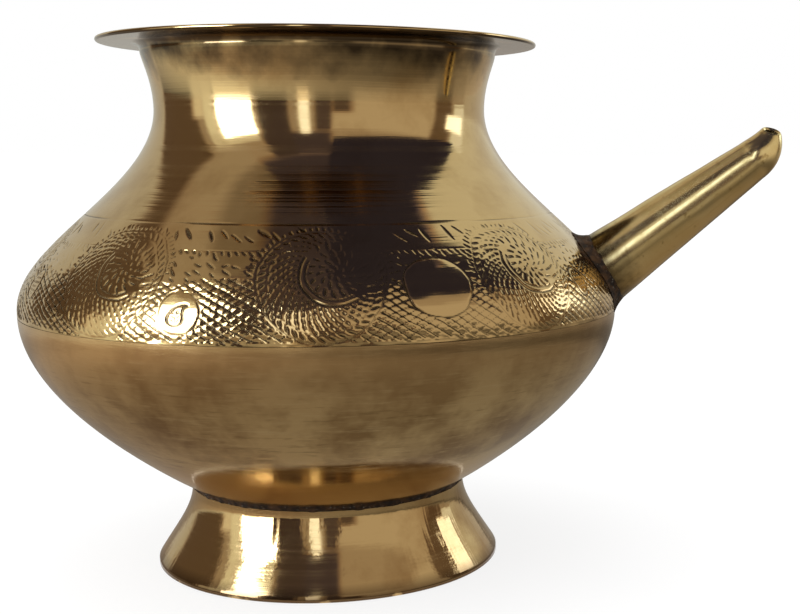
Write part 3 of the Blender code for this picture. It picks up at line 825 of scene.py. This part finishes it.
def rootBeadPlaces(bead):
    # One section of the fillet at each step round the spout: its face, from spout to wall, and its back
    sections = []
    for swing in np.linspace(0, fullTurn, bead["columns"], endpoint=False):
        away = upward * cos(swing) + sideways * sin(swing)
        root = wallMeets(swing, -bead["sunk"], 0.06)
        corner = spoutStart + ahead * root + away * (spoutTaper(root) + bead["sunk"])
        uneven = roughNoise(corner[None], 2.6, 31)[0] + 0.6 * roughNoise(corner[None], 1.1, 32)[0]
        leg = bead["leg"] + bead["ends"] * cos(swing) ** 2 + bead["rough"] * uneven
        end = root + leg * 0.9
        spoutEnd = spoutStart + ahead * end + away * (spoutTaper(end) + bead["film"])
        # Along the wall, away from the spout, and then back onto the wall
        out = np.array([corner[0] - axisX, corner[1], 0.0])
        lean = wallRadius(corner[2] + 0.5) - wallRadius(corner[2] - 0.5)
        normal = out / norm(out) - np.array([0.0, 0.0, lean])
        normal /= norm(normal)
        slide = away - normal * (away @ normal)
        wallEnd = corner + slide / norm(slide) * leg
        height = max(wallEnd[2], upper["seamHeight"] - bead["underSeam"])
        beside = np.array([wallEnd[0] - axisX, wallEnd[1]])
        beside *= (wallRadius(max(height, upper["bellyHeight"])) + bead["film"]) / norm(beside)
        wallEnd = np.array([axisX + beside[0], beside[1], height])
        t = np.linspace(0, 1, bead["points"])[:, None]
        bulge = corner * bead["hollow"] + (spoutEnd + wallEnd) * (1 - bead["hollow"]) / 2
        face = spoutEnd * (1 - t) ** 2 + bulge * 2 * t * (1 - t) + wallEnd * t ** 2
        back = corner - (away + normal) * bead["deep"]
        sections.append(np.concatenate([face, back[None]]))
    return np.stack(sections, 1)


rootPlaces = rootBeadPlaces(rootBead)
lumps = rootBead["lump"] * roughNoise(rootPlaces, 0.9, 33)
lumps[0] = lumps[-2:] = 0
rootPlaces[..., 0] += lumps
rootPlaces[..., 2] += lumps
spoutSolder = gridObject("spoutSolder", rootPlaces, [darkSolder], sharp=0)
putOnPot(spoutSolder, "spout_solder_fillet")
print("spout and its solder made")


# Studio: white floor and background, and a tent of soft panels and dark cards that only the metal sees.
# Sizes in mm, angles in degrees, bearings from the camera's side
studio = dict(
    sky="#E0ECFF", daylight="#F5FDF6", room="#FFDFC4", dusk="#CBC4FF", level=0.45, tint=0.6,
    tentRadius=1600.0, tentColumns=360, tentRows=190, tentTop=89.9, tentFoot=-3.0, cameraBearing=12.0,
    floorHalf=12000.0, floorDrop=0.2, floorGlow=0.86, floorDiffuse=0.17, sun=3.0, sunAngle=70.0,
    sunTilt=(8.0, -10.0), ambient=0.25)
# Each panel: bearing and elevation of its middle, width and height, level,
# its tint (-1 blue sky, 0 daylight, 1 the warm room, 2 dusk) and its soft edge
panels = [
    (0, 80, 400, 34, 0.09, 1.7, 6), (66, 74, 118, 44, 0.05, 2.0, 4), (-18, 52, 56, 22, 0.10, 1.6, 4),
    (-90, 57, 52, 20, 0.47, 0.5, 5), (-95, 70, 60, 12, 0.27, 0.6, 4), (-112, 24, 40, 50, 0.14, 1.0, 3),
    (-156, 12, 50, 60, 0.62, 0.2, 4), (134, 36, 62, 56, 0.83, 0.1, 4), (140, 2, 50, 18, 0.60, 0.3, 4),
    (-90, 0, 10, 34, 1.0, 0.2, 5), (-81, 18, 9, 56, 1.1, 0.0, 2), (-66, 40, 36, 14, 0.92, 0.1, 2),
    (-61, 15.5, 27, 49, 10.5, -1.0, 1.2), (-33, 26, 21, 76, 0.09, 1.4, 2), (-12, 20, 7, 46, 2.3, -0.8, 1.5),
    (1, 17, 11, 46, 0.12, 1.4, 2), (45, 20, 76, 40, 0.66, 0.45, 3), (45, 45, 76, 14, 0.48, 0.6, 5),
    (13, 5, 14, 20, 0.13, 1.2, 6), (92, 18, 16, 60, 0.17, 1.0, 3), (109, 20, 12, 32, 1.2, -0.4, 2),
    (104, 19, 17, 13, 3.2, -0.8, 1.5)]
# A dark card close by on the right: it darkens the neck and leaves the foot lit;
# its lower edge falls from the first height to the second
near = dict(radius=250.0, bearings=(8.0, 100.0), lowEdge=(312.0, 225.0), top=900.0, level=0.055)
# The table card's levels and tints from its middle outwards, towards the windows and away from them,
# and how far it takes on the tent's levels where it meets the tent
table = dict(
    radii=(35.3, 65.0, 95.0, 130.0, 165.0, 205.0, 260.0, 320.0, 480.0, 900.0, 1580.0), height=0.5,
    window=(0.33, 0.31, 0.34, 0.44, 0.52, 0.53, 0.64, 0.82, 0.97, 0.97, 0.94),
    far=(0.35, 0.31, 0.28, 0.29, 0.27, 0.14, 0.16, 0.24, 0.33, 0.40, 0.45),
    windowCool=(0.3, 0.3, 0.3, 0.3, 0.3, 0.35, 0.4, 0.75, 0.9, 0.9, 0.9), farCool=0.55,
    join=(0.0,) * 8 + (0.3, 0.65, 1.0), joinMost=2.0, joinElevation=3.0, windowBearing=-75.0,
    windowFall=2.5)


def emptyTree(owner):
    owner.use_nodes = True
    owner.node_tree.nodes.clear()
    return partial(addNode, owner.node_tree)


def seenDirectly(add):
    # 1 for rays from the camera, and for those that metal or glass sends on
    path = add("LightPath").node.outputs
    seen = path["Is Camera Ray"]
    for ray in ("Is Glossy Ray", "Is Transmission Ray"):
        seen = add("Math", (seen, path[ray]), operation="MAXIMUM")
    return seen


def onlyForMetal(name, places, glow, skip=None):
    # A glowing card that neither the camera nor the floor sees
    card = gridObject(name, places, [tentCloth], looped=False, numbers={"glow": glow}, skip=skip)
    card.visible_camera = card.visible_diffuse = card.visible_shadow = False


tentCloth = bpy.data.materials.new("tentCloth")
add = emptyTree(tentCloth)
light = add("Emission", {"Color": add("Attribute", output="Color", attribute_name="glow")})
add("OutputMaterial", {"Surface": light})

columns = studio["tentColumns"]
tints = [np.array(linear(studio[name])) for name in ("sky", "daylight", "room", "dusk")]
daylight, room, dusk = tints[1:]
elevations = np.linspace(studio["tentTop"], studio["tentFoot"], studio["tentRows"])
bearings = np.arange(columns) * 360 / columns - studio["cameraBearing"]
levels = np.full((len(elevations), columns), studio["level"])
tint = np.full(levels.shape, studio["tint"])
for bearing, elevation, width, height, panelLevel, panelTint, soft in panels:
    aside = np.abs((bearings[None] - bearing + 180) % 360 - 180)
    above = np.abs(elevations[:, None] - elevation)
    share = np.clip((width / 2 - aside) / soft + 0.5, 0, 1) * np.clip((height / 2 - above) / soft + 0.5, 0, 1)
    levels = levels * (1 - share) + panelLevel * share
    tint = tint * (1 - share) + panelTint * share
tentColours = np.stack([np.interp(tint, (-1, 0, 1, 2), channel) for channel in zip(*tints)], -1)
tentLine = arcLine(0, 0, studio["tentRadius"], studio["tentTop"], studio["tentFoot"], studio["tentRows"])
onlyForMetal("tent", turnPlaces(tentLine, columns), levels[..., None] * tentColours)

nearLine = np.array([(near["radius"], near["top"]), (near["radius"], 0.0)])
nearPlaces = turnPlaces(nearLine, columns)
nearPlaces[1, :, 2] = np.interp(bearings, near["bearings"], near["lowEdge"])
nearStart, nearEnd = near["bearings"]
nearGlow = np.broadcast_to(near["level"] * dusk, nearPlaces.shape[:2] + dusk.shape)
onlyForMetal("nearCard", nearPlaces, nearGlow, skip=((bearings < nearStart) | (bearings > nearEnd))[None])

towardsWindow = 0.5 + 0.5 * np.cos(np.radians(bearings - table["windowBearing"]))
towardsWindow = towardsWindow ** table["windowFall"]
window, far, windowCool, join = (np.array(table[name])[:, None]
                                 for name in ("window", "far", "windowCool", "join"))
cardLevels = far + (window - far) * towardsWindow
joinRow = np.abs(elevations - table["joinElevation"]).argmin()
cardLevels = cardLevels * (1 - join) + np.minimum(levels[joinRow], table["joinMost"]) * join
cool = table["farCool"] + (windowCool - table["farCool"]) * towardsWindow
cardTint = room + (daylight - room) * cool[..., None]
cardLine = np.stack([table["radii"], np.full(len(table["radii"]), table["height"])], 1)
onlyForMetal("tableCard", turnPlaces(cardLine, columns), cardLevels[..., None] * cardTint)

whiteFloor = bpy.data.materials.new("whiteFloor")
add = emptyTree(whiteFloor)
cloth = add("BsdfDiffuse", {"Color": (studio["floorDiffuse"],) * 3 + (1.0,)})
strength = add("Math", (seenDirectly(add), studio["floorGlow"]), operation="MULTIPLY")
both = add("AddShader", (cloth, add("Emission", {"Strength": strength})))
add("OutputMaterial", {"Surface": both})
floorMesh = bpy.data.meshes.new("floor")
half = studio["floorHalf"] * mm
corners = [(-half, -half, 0), (half, -half, 0), (half, half, 0), (-half, half, 0)]
floorMesh.from_pydata(corners, [], [(0, 1, 2, 3)])
floorMesh.materials.append(whiteFloor)
floor = newObject("floor", floorMesh)
floor.location.z = -studio["floorDrop"] * mm

sun = newObject("overhead", bpy.data.lights.new("overhead", "SUN"))
sun.data.energy = studio["sun"]
sun.data.angle = radians(studio["sunAngle"])
sun.rotation_euler[:2] = np.radians(studio["sunTilt"])
sun.visible_glossy = False

world = bpy.data.worlds.new("white")
scene.world = world
add = emptyTree(world)
strength = add("MapRange", (seenDirectly(add), 0.0, 1.0, studio["ambient"], 1.0))
back = add("Background", {"Color": (1.0, 1.0, 1.0, 1.0), "Strength": strength})
add("OutputWorld", {"Surface": back})
print("studio set")

scene.view_settings.view_transform = "Standard"
